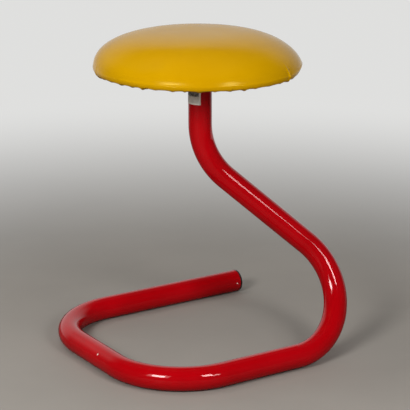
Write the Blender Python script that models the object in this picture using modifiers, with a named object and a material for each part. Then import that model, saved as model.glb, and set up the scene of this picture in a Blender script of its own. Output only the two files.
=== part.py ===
"""A tubular cantilever stool: one bent steel tube, plugged at its floor end, carries a round padded seat.

Units are metres and +Z is up. The origin is on the floor at the middle of the base's outline. +X runs
along the front floor run towards the slanting run, and -Y is the front.
"""

import math

import bmesh
import bpy
from mathutils import Matrix, Vector

OBJECT_NAME = "tubular_stool"

# Gap kept between pieces that touch
CLEARANCE = 0.0003

# Meshing
WELD_DISTANCE = 1e-6  # points nearer than this are made one
SHARP_ANGLE = math.radians(35)  # faces that meet at more than this keep a sharp edge
ROUND_FACETS = 4  # facets of a small rounded edge

# Frame tube
TUBE_DIAMETER = 0.0381
TUBE_WALL = 0.002
BASE_LENGTH = 0.411  # left floor run's outer side to the plug's face
BASE_WIDTH = 0.403  # front floor run's outer side to the back floor run's
POST_OFFSET = 0.010  # middle of the base to the post's axis, along X
SLANT_HEIGHT = 0.318  # floor to the corner where post and slanting run would meet
SLANT_REACH = 0.302  # post's axis to the corner where slanting and front runs would meet, along X
POST_BEND = 0.120  # bend radii are at the tube's axis
RISER_BEND = 0.107
FLOOR_BEND = 0.122
TUBE_SIDES = 24  # a multiple of 4, so that flats face down and sideways
BEND_STEP = math.radians(7.5)

# Padded seat
SEAT_HEIGHT = 0.525  # floor to the crown
SEAT_DIAMETER = 0.330  # over the widest line of the cover
SEAT_CROWN = 0.050  # widest line up to the crown
SEAT_DRAW = 0.0145  # widest line down to the hem, where the cover is drawn in
CROWN_FULLNESS = (2.6, 1.76)  # powers of radius and height in the crown's curve
CROWN_FACETS = 6
EDGE_PAD = 0.013  # cover's widest line to the board's edge
EDGE_FACETS = 3
COVER_THICKNESS = 0.0012
HEM_WIDTH = 0.026
HEM_ROWS = 2
PLEATS = 44
PLEAT_DEPTH = 0.0014
BOARD_THICKNESS = 0.012
BOARD_ROUND = 0.002

# Plate on the post
PLATE_DIAMETER = 0.110
PLATE_THICKNESS = 0.005
WELD_LEG = 0.005

# Bolts, spring washers and tee nuts
BOLT_COUNT = 4
BOLT_CIRCLE = 0.082
BOLT_DIAMETER = 0.006
BOLT_HEAD_WIDTH = 0.010  # across flats
BOLT_HEAD_HEIGHT = 0.004
BOLT_HEAD_CHAMFER = 0.0006
BOLT_TIP_DEPTH = 0.001  # tip below the top of the board
WASHER_WIDTH = 0.0025
WASHER_THICKNESS = 0.0016
WASHER_SPLIT = math.radians(12)
TEE_WALL = 0.0013
TEE_FLANGE_DIAMETER = 0.019
TEE_FLANGE_THICKNESS = 0.0015
TEE_BARREL_RISE = 0.002  # barrel's end above the underside of the board
BOLT_SIDES = 16

# End plug
PLUG_HEAD = 0.0035
PLUG_ROUND = 0.0022
PLUG_DEPTH = 0.020
PLUG_WALL = 0.002
PLUG_FINS = 4
FIN_HEIGHT = 0.0016
FIN_THICKNESS = 0.0012

# Radii and levels that follow
TUBE_RADIUS = TUBE_DIAMETER / 2
TUBE_CORNER_RADIUS = TUBE_RADIUS / math.cos(math.pi / TUBE_SIDES)
SEAT_RADIUS = SEAT_DIAMETER / 2
BOARD_RADIUS = SEAT_RADIUS - EDGE_PAD
RIM_LEVEL = SEAT_HEIGHT - SEAT_CROWN
HEM_LEVEL = RIM_LEVEL - SEAT_DRAW
BOARD_BOTTOM = HEM_LEVEL + COVER_THICKNESS + CLEARANCE
BOARD_TOP = BOARD_BOTTOM + BOARD_THICKNESS
PLATE_TOP = BOARD_BOTTOM - CLEARANCE
PLATE_BOTTOM = PLATE_TOP - PLATE_THICKNESS
POST_TOP = PLATE_BOTTOM - CLEARANCE
WASHER_BOTTOM = PLATE_BOTTOM - CLEARANCE - WASHER_THICKNESS
BOLT_SEAT = WASHER_BOTTOM - CLEARANCE
BOLT_RADIUS = BOLT_DIAMETER / 2
TEE_BORE_RADIUS = BOLT_RADIUS + CLEARANCE
TEE_BARREL_RADIUS = TEE_BORE_RADIUS + TEE_WALL
TEE_FLANGE_BOTTOM = BOARD_TOP - TEE_FLANGE_THICKNESS
TUBE_END = BASE_LENGTH / 2 - PLUG_HEAD - CLEARANCE


def clear_scene():
    """Remove every object that is in the scene."""
    for item in list(bpy.data.objects):
        bpy.data.objects.remove(item, do_unlink=True)


def new_collection(name):
    """An empty collection in the scene."""
    collection = bpy.data.collections.new(name)
    bpy.context.scene.collection.children.link(collection)
    return collection


def new_material(name, colour, roughness, metallic=0.0):
    """A Principled material of one colour."""
    material = bpy.data.materials.new(name)
    material.use_nodes = True
    shader = material.node_tree.nodes["Principled BSDF"]
    shader.inputs["Base Color"].default_value = (*colour, 1.0)
    shader.inputs["Roughness"].default_value = roughness
    shader.inputs["Metallic"].default_value = metallic
    return material


def new_object(name, mesh, collection, material=None, parent=None):
    """An object of that mesh in that collection."""
    item = bpy.data.objects.new(name, mesh)
    collection.objects.link(item)
    item.parent = parent
    if material and not mesh.materials:
        mesh.materials.append(material)
    return item


def evaluated_mesh(item):
    """The item's mesh with its modifiers applied, welded and smooth between its sharp edges."""
    depsgraph = bpy.context.evaluated_depsgraph_get()
    mesh = bpy.data.meshes.new_from_object(item.evaluated_get(depsgraph))
    work = bmesh.new()
    work.from_mesh(mesh)
    bmesh.ops.remove_doubles(work, verts=work.verts, dist=WELD_DISTANCE)
    work.to_mesh(mesh)
    work.free()
    smooth(mesh)
    return mesh


def smooth(mesh):
    """Shade a round piece smooth and keep its corners sharp."""
    mesh.shade_smooth()
    mesh.set_sharp_from_angle(angle=SHARP_ANGLE)


def profile_mesh(name, profile, closed=False):
    """A line of edges through (radius, height) points, in the XZ plane."""
    work = bmesh.new()
    points = [work.verts.new((radius, 0.0, height)) for radius, height in profile]
    ends = points[1:] + points[:1] if closed else points[1:]
    for start, end in zip(points, ends):
        work.edges.new((start, end))
    mesh = bpy.data.meshes.new(name)
    work.to_mesh(mesh)
    work.free()
    return mesh


def turned(name, profile, steps, collection, material=None, parent=None, closed=False):
    """A profile turned once about Z. It runs down its outer side, from top to bottom."""
    item = new_object(name, profile_mesh(name, profile, closed), collection, material, parent)
    screw = item.modifiers.new("turn", "SCREW")
    screw.steps = steps
    screw.render_steps = steps
    screw.use_merge_vertices = True
    screw.merge_threshold = WELD_DISTANCE
    screw.use_smooth_shade = True
    return item


def cutting(item):
    """Mark an object as a cutter that isn't part of the stool."""
    item.hide_render = True
    item.display_type = "WIRE"


def arc(centre, radii, start, end, facets):
    """Points on an ellipse in a profile, from one angle to another, in degrees."""
    angles = [math.radians(start + (end - start) * i / facets) for i in range(facets + 1)]
    return [(centre[0] + radii[0] * math.cos(a), centre[1] + radii[1] * math.sin(a)) for a in angles]


def inset(profile, distance):
    """A profile that starts on the axis, each of its straight stretches moved inwards by the distance."""
    mirrored = (-profile[1][0], profile[1][1])
    beyond = tuple(2 * b - a for a, b in zip(profile[-2], profile[-1]))
    line = [Vector(point) for point in (mirrored, *profile, beyond)]
    moved = []
    for before, point, after in zip(line, line[1:], line[2:]):
        incoming = (point - before).normalized()
        outgoing = (after - point).normalized()
        normals = [Vector((along.y, -along.x)) for along in (incoming, outgoing)]
        step = (normals[0] + normals[1]) * distance / (1 + normals[0].dot(normals[1]))
        moved.append(tuple(point + step))
    return moved


def bent_path(corners, radii):
    """Points of straight runs between corners, each inner corner rounded to its own radius."""
    path = [corners[0]]
    for before, corner, after, radius in zip(corners, corners[1:], corners[2:], radii):
        to_before = (before - corner).normalized()
        to_after = (after - corner).normalized()
        half_angle = to_before.angle(to_after) / 2
        centre = corner + (to_before + to_after).normalized() * (radius / math.sin(half_angle))
        start = corner + to_before * (radius / math.tan(half_angle)) - centre
        end = corner + to_after * (radius / math.tan(half_angle)) - centre
        turn = start.angle(end)
        steps = math.ceil(turn / BEND_STEP)
        axis = start.cross(end).normalized()
        path += [centre + Matrix.Rotation(turn * i / steps, 3, axis) @ start for i in range(steps + 1)]
    return path + [corners[-1]]


def frame_tube(collection, material):
    """The one bent tube, from its open floor end round the base and up to the seat."""
    left = TUBE_RADIUS - BASE_LENGTH / 2
    side = BASE_WIDTH / 2 - TUBE_RADIUS
    corners = [
        Vector((TUBE_END, side, TUBE_RADIUS)),
        Vector((left, side, TUBE_RADIUS)),
        Vector((left, -side, TUBE_RADIUS)),
        Vector((POST_OFFSET + SLANT_REACH, -side, TUBE_RADIUS)),
        Vector((POST_OFFSET, 0.0, SLANT_HEIGHT)),
        Vector((POST_OFFSET, 0.0, POST_TOP)),
    ]
    path = bent_path(corners, [FLOOR_BEND, FLOOR_BEND, RISER_BEND, POST_BEND])
    curve = bpy.data.curves.new("tube_path", "CURVE")
    curve.dimensions = "3D"
    curve.bevel_depth = TUBE_CORNER_RADIUS
    curve.bevel_resolution = TUBE_SIDES // 2 - 2
    spline = curve.splines.new("POLY")
    spline.points.add(len(path) - 1)
    for point, place in zip(spline.points, path):
        point.co = (*place, 1.0)
        point.tilt = math.pi / TUBE_SIDES
    line = new_object("tube_path", curve, collection)
    skin = evaluated_mesh(line)
    bpy.data.objects.remove(line)
    tube = new_object("frame_tube", skin, collection, material)
    wall = tube.modifiers.new("wall", "SOLIDIFY")
    wall.thickness = TUBE_WALL
    wall.offset = -1.0
    wall.use_even_offset = True
    return tube


def end_plug(collection, material):
    """Plastic plug: a rounded head against the tube's end, and a finned hollow barrel inside it."""
    grip_radius = TUBE_RADIUS - TUBE_WALL - CLEARANCE
    barrel_radius = grip_radius - FIN_HEIGHT
    fin_pitch = PLUG_DEPTH / (PLUG_FINS + 1)
    face = CLEARANCE + PLUG_HEAD
    round_centre = (TUBE_RADIUS - PLUG_ROUND, face - PLUG_ROUND)
    rounding = arc(round_centre, (PLUG_ROUND, PLUG_ROUND), 90, 0, ROUND_FACETS)
    profile = [(0.0, face), *rounding, (TUBE_RADIUS, CLEARANCE), (barrel_radius, CLEARANCE)]
    for i in range(PLUG_FINS):
        top = -fin_pitch * (i + 1)
        profile += [
            (barrel_radius, top),
            (grip_radius, top),
            (barrel_radius, top - FIN_THICKNESS),
        ]
    inner_radius = barrel_radius - PLUG_WALL
    profile += [(barrel_radius, -PLUG_DEPTH), (inner_radius, -PLUG_DEPTH)]
    profile += [(inner_radius, CLEARANCE), (0.0, CLEARANCE)]
    plug = turned("end_plug", profile, TUBE_SIDES, collection, material)
    plug.location = (TUBE_END, BASE_WIDTH / 2 - TUBE_RADIUS, TUBE_RADIUS)
    plug.rotation_euler = (0.0, math.pi / 2, 0.0)
    return plug


def cover_profile():
    """Outer side of the cover, from the crown over the widest line to the hem's inner edge."""
    crown = [(0.0, SEAT_HEIGHT)]
    for i in range(1, CROWN_FACETS + 1):
        swing = math.pi / 2 * (1 - i / CROWN_FACETS)
        radius = SEAT_RADIUS * math.cos(swing) ** (2 / CROWN_FULLNESS[0])
        rise = SEAT_CROWN * math.sin(swing) ** (2 / CROWN_FULLNESS[1])
        crown.append((radius, RIM_LEVEL + rise))
    edge = arc((BOARD_RADIUS, RIM_LEVEL), (EDGE_PAD, SEAT_DRAW), 0, -90, EDGE_FACETS)
    hem = [(BOARD_RADIUS - HEM_WIDTH * (i + 1) / HEM_ROWS, HEM_LEVEL) for i in range(HEM_ROWS)]
    return crown + edge[1:] + hem


def seat_cover(collection, material, seat_axis):
    """Vinyl skin over the pad, turned under the board and gathered there in pleats."""
    skin_source = turned("cover_skin", cover_profile(), PLEATS, collection)
    skin = evaluated_mesh(skin_source)
    bpy.data.objects.remove(skin_source)
    work = bmesh.new()
    work.from_mesh(skin)

    def in_hem(vertex):
        return vertex.co.z < HEM_LEVEL + CLEARANCE

    def runs_round(edge):
        radii = [math.hypot(vertex.co.x, vertex.co.y) for vertex in edge.verts]
        return abs(radii[0] - radii[1]) < CLEARANCE

    rings = [edge for edge in work.edges if all(map(in_hem, edge.verts)) and runs_round(edge)]
    bmesh.ops.subdivide_edges(work, edges=rings, cuts=1, use_grid_fill=True)
    for vertex in filter(in_hem, work.verts):
        swing = math.atan2(vertex.co.y, vertex.co.x)
        vertex.co.z -= PLEAT_DEPTH * math.sin(PLEATS * swing / 2) ** 2
    bmesh.ops.recalc_face_normals(work, faces=work.faces)
    work.to_mesh(skin)
    work.free()
    smooth(skin)
    cover = new_object("seat_cover", skin, collection, material, seat_axis)
    vinyl = cover.modifiers.new("vinyl", "SOLIDIFY")
    vinyl.thickness = COVER_THICKNESS
    vinyl.offset = -1.0
    vinyl.use_even_offset = True
    return cover


def seat_foam(collection, material, seat_axis):
    """Crowned pad that lies on the board and wraps its edge, just inside the cover."""
    drawn_in = CROWN_FACETS + EDGE_FACETS
    outer = inset(cover_profile(), COVER_THICKNESS + CLEARANCE)[:drawn_in]
    recess_radius = BOARD_RADIUS + CLEARANCE
    recess_top = BOARD_TOP + CLEARANCE
    profile = outer + [(recess_radius, outer[-1][1]), (recess_radius, recess_top), (0.0, recess_top)]
    return turned("seat_foam", profile, PLEATS, collection, material, seat_axis)


def seat_board(collection, material, seat_axis):
    """Plywood disc with its lower edge rounded where the cover is pulled over it."""
    round_centre = (BOARD_RADIUS - BOARD_ROUND, BOARD_BOTTOM + BOARD_ROUND)
    rounding = arc(round_centre, (BOARD_ROUND, BOARD_ROUND), 0, -90, ROUND_FACETS)
    profile = [(0.0, BOARD_TOP), (BOARD_RADIUS, BOARD_TOP), *rounding, (0.0, BOARD_BOTTOM)]
    return turned("seat_board", profile, PLEATS, collection, material, seat_axis)


def seat_plate(collection, material, seat_axis):
    """Round steel plate with the weld bead that holds it on the post."""
    plate_radius = PLATE_DIAMETER / 2
    bead_inside = TUBE_CORNER_RADIUS + CLEARANCE
    bead = arc((bead_inside, PLATE_BOTTOM), (WELD_LEG, WELD_LEG), 0, -90, ROUND_FACETS)
    profile = [(0.0, PLATE_TOP), (plate_radius, PLATE_TOP), (plate_radius, PLATE_BOTTOM)]
    profile += [*bead, (bead_inside, PLATE_BOTTOM), (0.0, PLATE_BOTTOM)]
    return turned("seat_plate", profile, 2 * TUBE_SIDES, collection, material, seat_axis)


def bolt_places():
    """Places of the bolts on their circle, and the turn of each about its own axis."""
    for i in range(BOLT_COUNT):
        swing = 2 * math.pi * (i + 0.5) / BOLT_COUNT
        yield i + 1, Vector((math.cos(swing), math.sin(swing), 0.0)) * BOLT_CIRCLE / 2, swing


def cut_bolt_ways(pieces, cutters, seat_axis):
    """Cut the stepped way of each bolt and tee nut through the plate and the board."""
    between = (PLATE_TOP + BOARD_BOTTOM) / 2
    flange_radius = TEE_FLANGE_DIAMETER / 2 + CLEARANCE
    flange_seat = TEE_FLANGE_BOTTOM - CLEARANCE
    profile = [
        (0.0, BOARD_TOP + CLEARANCE / 2),
        (flange_radius, BOARD_TOP + CLEARANCE / 2),
        (flange_radius, flange_seat),
        (TEE_BARREL_RADIUS + CLEARANCE, flange_seat),
        (TEE_BARREL_RADIUS + CLEARANCE, between),
        (BOLT_RADIUS + 2 * CLEARANCE, between),
        (BOLT_RADIUS + 2 * CLEARANCE, PLATE_BOTTOM - WASHER_THICKNESS),
        (0.0, PLATE_BOTTOM - WASHER_THICKNESS),
    ]
    for number, place, _ in bolt_places():
        way = turned(f"bolt_way_{number}", profile, 2 * BOLT_SIDES, cutters, parent=seat_axis)
        way.location = place
        cutting(way)
    for piece in pieces:
        cut = piece.modifiers.new("bolt ways", "BOOLEAN")
        cut.operation = "DIFFERENCE"
        cut.operand_type = "COLLECTION"
        cut.collection = cutters


def bolt_mesh(cutters, material):
    """Hex bolt, point up, with the underside of its head at height 0."""
    corner_radius = BOLT_HEAD_WIDTH / math.sqrt(3)
    length = BOARD_TOP - BOLT_TIP_DEPTH - BOLT_SEAT
    profile = [
        (0.0, length),
        (BOLT_RADIUS - BOLT_HEAD_CHAMFER, length),
        (BOLT_RADIUS, length - BOLT_HEAD_CHAMFER),
        (BOLT_RADIUS, 0.0),
        (corner_radius, 0.0),
        (corner_radius, BOLT_HEAD_CHAMFER - BOLT_HEAD_HEIGHT),
        (corner_radius - 2 * BOLT_HEAD_CHAMFER, -BOLT_HEAD_HEIGHT),
        (0.0, -BOLT_HEAD_HEIGHT),
    ]
    blank = turned("bolt_blank", profile, BOLT_SIDES, cutters, material)
    work = bmesh.new()
    bmesh.ops.create_cone(
        work,
        cap_ends=True,
        segments=6,
        radius1=corner_radius,
        radius2=corner_radius,
        depth=2 * (length + BOLT_HEAD_HEIGHT),
    )
    bar = bpy.data.meshes.new("hex_bar")
    work.to_mesh(bar)
    work.free()
    hexagon = new_object("hex_bar", bar, cutters)
    flats = blank.modifiers.new("flats", "BOOLEAN")
    flats.operation = "INTERSECT"
    flats.object = hexagon
    mesh = evaluated_mesh(blank)
    bpy.data.objects.remove(blank)
    bpy.data.objects.remove(hexagon)
    return mesh


def washer_mesh(material):
    """Spring washer: a square section swept round its bolt, with a split."""
    inner_radius = BOLT_RADIUS + CLEARANCE
    work = bmesh.new()
    section = [
        (inner_radius, 0.0, 0.0),
        (inner_radius + WASHER_WIDTH, 0.0, 0.0),
        (inner_radius + WASHER_WIDTH, 0.0, WASHER_THICKNESS),
        (inner_radius, 0.0, WASHER_THICKNESS),
    ]
    face = work.faces.new([work.verts.new(corner) for corner in section])
    bmesh.ops.spin(
        work,
        geom=[face, *face.edges, *face.verts],
        cent=(0.0, 0.0, 0.0),
        axis=(0.0, 0.0, 1.0),
        angle=2 * math.pi - WASHER_SPLIT,
        steps=BOLT_SIDES,
    )
    bmesh.ops.recalc_face_normals(work, faces=work.faces)
    mesh = bpy.data.meshes.new("spring_washer")
    work.to_mesh(mesh)
    work.free()
    smooth(mesh)
    mesh.materials.append(material)
    return mesh


def tee_nut_profile():
    """Flange let into the top of the board, and the barrel that the bolt goes into."""
    flange_radius = TEE_FLANGE_DIAMETER / 2
    barrel_end = BOARD_BOTTOM + TEE_BARREL_RISE
    return [
        (TEE_BORE_RADIUS, BOARD_TOP),
        (flange_radius, BOARD_TOP),
        (flange_radius, TEE_FLANGE_BOTTOM),
        (TEE_BARREL_RADIUS, TEE_FLANGE_BOTTOM),
        (TEE_BARREL_RADIUS, barrel_end),
        (TEE_BORE_RADIUS, barrel_end),
    ]


def fasteners(collection, cutters, material, seat_axis):
    """A bolt, a spring washer and a tee nut at each place on the bolt circle."""
    bolt = bolt_mesh(cutters, material)
    washer = washer_mesh(material)
    profile = tee_nut_profile()
    for number, place, swing in bolt_places():
        placed_bolt = new_object(f"seat_bolt_{number}", bolt, collection, parent=seat_axis)
        placed_bolt.location = place + Vector((0.0, 0.0, BOLT_SEAT))
        placed_bolt.rotation_euler.z = swing
        placed_washer = new_object(f"spring_washer_{number}", washer, collection, parent=seat_axis)
        placed_washer.location = place + Vector((0.0, 0.0, WASHER_BOTTOM))
        placed_washer.rotation_euler.z = swing
        name = f"tee_nut_{number}"
        tee_nut = turned(name, profile, BOLT_SIDES, collection, material, seat_axis, closed=True)
        tee_nut.location = place


def build():
    """Model the whole stool."""
    clear_scene()
    parts = new_collection(OBJECT_NAME)
    cutters = new_collection("cutters")
    red_paint = new_material("red_paint", (0.40, 0.003, 0.006), 0.18)
    black_plastic = new_material("black_plastic", (0.012, 0.012, 0.013), 0.45)
    yellow_vinyl = new_material("yellow_vinyl", (0.62, 0.36, 0.004), 0.28)
    foam = new_material("foam", (0.72, 0.62, 0.42), 0.95)
    plywood = new_material("plywood", (0.52, 0.36, 0.20), 0.7)
    zinc = new_material("zinc", (0.62, 0.62, 0.60), 0.35, 1.0)

    seat_axis = bpy.data.objects.new("seat_axis", None)
    parts.objects.link(seat_axis)
    seat_axis.location = (POST_OFFSET, 0.0, 0.0)

    frame_tube(parts, red_paint)
    end_plug(parts, black_plastic)
    plate = seat_plate(parts, red_paint, seat_axis)
    board = seat_board(parts, plywood, seat_axis)
    seat_foam(parts, foam, seat_axis)
    seat_cover(parts, yellow_vinyl, seat_axis)
    fasteners(parts, cutters, zinc, seat_axis)
    cut_bolt_ways([plate, board], cutters, seat_axis)


build()
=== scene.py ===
"""Looks of a tubular stool: enamelled tube, vinyl seat, the hardware under the seat, and a plain studio.

Everything is in metres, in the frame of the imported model: +Z up, the floor at zero, -Y to the front.
"""

from __future__ import annotations

import logging
import math
import random
from bisect import bisect_right
from dataclasses import dataclass, field
from enum import Enum
from functools import cached_property
from typing import Any, Iterable

import bmesh
import bpy
from bmesh.types import BMesh
from bpy.types import ID, Material, Mesh, Node, NodeSocket, NodeTree, Object
from mathutils import Matrix, Vector, noise


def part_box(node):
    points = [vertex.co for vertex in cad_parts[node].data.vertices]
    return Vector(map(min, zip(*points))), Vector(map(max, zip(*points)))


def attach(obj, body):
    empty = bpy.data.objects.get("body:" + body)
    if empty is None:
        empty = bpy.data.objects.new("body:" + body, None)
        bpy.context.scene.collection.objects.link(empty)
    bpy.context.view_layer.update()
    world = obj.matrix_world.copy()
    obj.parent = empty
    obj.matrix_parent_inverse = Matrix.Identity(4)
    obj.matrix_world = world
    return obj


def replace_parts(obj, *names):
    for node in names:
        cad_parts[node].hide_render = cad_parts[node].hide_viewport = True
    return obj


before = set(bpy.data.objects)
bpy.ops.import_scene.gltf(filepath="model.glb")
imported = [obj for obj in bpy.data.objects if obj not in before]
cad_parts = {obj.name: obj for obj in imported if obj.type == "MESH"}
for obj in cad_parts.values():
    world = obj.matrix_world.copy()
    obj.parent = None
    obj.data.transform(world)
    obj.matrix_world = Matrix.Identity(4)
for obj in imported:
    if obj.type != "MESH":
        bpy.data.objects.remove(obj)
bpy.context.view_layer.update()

LOG = logging.getLogger("tubular_stool")
BODY = "root"
UP = Vector((0.0, 0.0, 1.0))
WELD_DISTANCE = 1e-6
SHARP_ANGLE = math.radians(35)
CLEARANCE = 0.0003
TUBE_WALL = 0.002
PLUG_HEAD = 0.0035
CLOUD_SPAN = (0.32, 0.68)
RAGGED_SPAN = (0.3, 0.7)

Pair = tuple[float, float]
Triple = tuple[float, float, float]
Colour = Triple


class Slot(Enum):
    """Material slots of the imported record."""

    RED_PAINT = "red_paint"
    BLACK_PLASTIC = "black_plastic"
    YELLOW_VINYL = "yellow_vinyl"
    FOAM = "foam"
    PLYWOOD = "plywood"
    ZINC = "zinc"


def smoothstep(value: float) -> float:
    """Ease a value from 0 to 1."""
    share = min(1.0, max(0.0, value))
    return share * share * (3 - 2 * share)


def bell(value: float) -> float:
    """A hump that is 1 in its middle and fades on both sides."""
    return math.exp(-(value**2))


def point(out: float, level: float) -> Vector:
    """A point of an outline in the XZ plane."""
    return Vector((out, 0.0, level))


def level_way(axis: Vector, place: Vector) -> Vector:
    """The level way from an upright axis to a point."""
    return Vector((place.x - axis.x, place.y - axis.y, 0.0))


def axis_of(node: str) -> Vector:
    """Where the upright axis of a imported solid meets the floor."""
    low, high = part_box(node)
    return Vector(((low.x + high.x) / 2, (low.y + high.y) / 2, 0.0))


def tube_radius() -> float:
    """Outer radius of the tube, which the plug's head shares."""
    low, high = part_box("end_plug")
    return (high.z - low.z) / 2


def arc(centre: Vector, radii: Pair, start: float, end: float, facets: int) -> list[Vector]:
    """Points on an ellipse in the XZ plane.

    Args:
        centre: Middle of the ellipse.
        radii: Its half sizes along X and Z.
        start: First angle in degrees, from +X towards +Z.
        end: Last angle in degrees.
        facets: Stretches between the points.

    Returns:
        The points, both ends included.
    """
    angles = [math.radians(start + (end - start) * i / facets) for i in range(facets + 1)]
    return [centre + point(radii[0] * math.cos(a), radii[1] * math.sin(a)) for a in angles]


def turn_outline(outline: list[Vector], steps: int, place: Vector) -> BMesh:
    """Turn an outline in the XZ plane once about a vertical axis.

    Args:
        outline: Points of the outline, with the axis at X = 0.
        steps: Facets of one full turn.
        place: A point on the axis.

    Returns:
        The turned mesh, welded, with its faces pointing out.
    """
    work = bmesh.new()
    points = [work.verts.new(place + spot) for spot in outline]
    edges = [work.edges.new(pair) for pair in zip(points, points[1:])]
    bmesh.ops.spin(
        work,
        geom=[*points, *edges],
        cent=place,
        axis=UP,
        angle=2 * math.pi,
        steps=steps,
        use_merge=True,
    )
    bmesh.ops.remove_doubles(work, verts=work.verts, dist=WELD_DISTANCE)
    bmesh.ops.recalc_face_normals(work, faces=work.faces)
    return work


def mesh_from(name: str, work: BMesh) -> Mesh:
    """Make a mesh.

    Args:
        name: The mesh's name.
        work: What it is made from, which is used up.

    Returns:
        The mesh.
    """
    mesh = bpy.data.meshes.new(name)
    work.to_mesh(mesh)
    work.free()
    return mesh


def placed(name: str, data: ID) -> Object:
    """Put a new object into the scene.

    Args:
        name: The object's name.
        data: Its mesh, lamp or camera.

    Returns:
        The object, at the origin.
    """
    item = bpy.data.objects.new(name, data)
    bpy.context.scene.collection.objects.link(item)
    return item


def shade(mesh: Mesh) -> None:
    """Shade a mesh smooth, apart from its sharp edges."""
    mesh.shade_smooth()
    mesh.set_sharp_from_angle(angle=SHARP_ANGLE)


def finished_piece(name: str, work: BMesh, material: Material) -> Object:
    """Make a piece of the stool from a mesh that is already in its place.

    Args:
        name: The piece's name.
        work: Its mesh, which is used up.
        material: Its finish.

    Returns:
        The piece, riding on the stool's one body.
    """
    mesh = mesh_from(name, work)
    mesh.materials.append(material)
    shade(mesh)
    piece = placed(name, mesh)
    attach(piece, BODY)
    LOG.info("%s: %d faces", name, len(mesh.polygons))
    return piece


def dress_node(name: str, material: Material) -> None:
    """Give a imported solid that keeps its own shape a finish.

    Args:
        name: The solid's name.
        material: The finish.
    """
    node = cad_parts[name]
    node.data.materials.clear()
    node.data.materials.append(material)
    LOG.info("%s: dressed as %s", name, material.name)


def paint(colour: Any) -> Any:
    """A colour with the alpha that sockets ask for, or the socket that it is."""
    return (*colour, 1.0) if isinstance(colour, tuple) else colour


class NodeBench:
    """Places the nodes of one material, world or group and joins them up."""

    def __init__(self, tree: NodeTree) -> None:
        """Work in that node tree."""
        self.tree = tree

    def add(self, kind: str, inputs: dict[str | int, Any] | None = None, **settings: Any) -> Node:
        """Add a node.

        Args:
            kind: The node's type, without its ShaderNode prefix.
            inputs: What goes into its sockets, by name or number: a value, or another node's output.
            settings: The node's own properties.

        Returns:
            The new node.
        """
        node = self.tree.nodes.new("ShaderNode" + kind)
        for name, value in settings.items():
            setattr(node, name, value)
        self.feed(node, inputs or {})
        return node

    def feed(self, node: Node, inputs: dict[str | int, Any]) -> None:
        """Set a node's sockets to values, or join them to other nodes' outputs.

        Args:
            node: The node.
            inputs: What goes into its sockets, by name or number.
        """
        for name, value in inputs.items():
            if isinstance(value, NodeSocket):
                self.tree.links.new(value, node.inputs[name])
            else:
                node.inputs[name].default_value = value

    def math(self, operation: str, *values: Any) -> NodeSocket:
        """The outcome of one step of arithmetic on values or sockets."""
        return self.add("Math", dict(enumerate(values)), operation=operation).outputs[0]

    def vector(self, operation: str, *values: Any) -> Node:
        """A node for one step of arithmetic on vectors or sockets."""
        return self.add("VectorMath", dict(enumerate(values)), operation=operation)

    def height(self, vector: NodeSocket) -> NodeSocket:
        """The upright part of a vector."""
        return self.add("SeparateXYZ", {0: vector}).outputs["Z"]

    def span(self, value: Any, low: float, high: float, to_low: Any = 0.0, to_high: Any = 1.0) -> NodeSocket:
        """A value carried from one range to another, and kept inside it."""
        inputs = {0: value, 1: low, 2: high, 3: to_low, 4: to_high}
        return self.add("MapRange", inputs, interpolation_type="SMOOTHSTEP").outputs[0]

    def mix(self, share: Any, under: Any, over: Any) -> NodeSocket:
        """A colour laid over another one, of which that share is covered."""
        inputs = {0: share, 6: paint(under), 7: paint(over)}
        return self.add("Mix", inputs, data_type="RGBA").outputs[2]


class SurfaceBench(NodeBench):
    """Bench of a new material, with its shader and the place on the surface in Object coordinates."""

    def __init__(self, name: str) -> None:
        """Start a material.

        Args:
            name: The material's name.
        """
        self.material = bpy.data.materials.new(name)
        self.material.use_nodes = True
        super().__init__(self.material.node_tree)
        self.shader = self.tree.nodes["Principled BSDF"]
        self.place = self.add("TexCoord").outputs["Object"]

    def effect(self, tree: NodeTree, **values: Any) -> NodeSocket:
        """A shared effect on this surface, with its own settings."""
        return self.add("Group", {"Vector": self.place, **values}, node_tree=tree).outputs[0]

    def coat(self, inputs: dict[str, Any]) -> None:
        """Set the shader's sockets."""
        self.feed(self.shader, inputs)

    def raise_surface(self, height: Any, depth: float) -> None:
        """Bump the surface by a height that reaches that depth in metres."""
        bump = self.add("Bump", {"Height": height, "Distance": depth, "Strength": 1.0})
        self.coat({"Normal": bump.outputs[0]})


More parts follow.
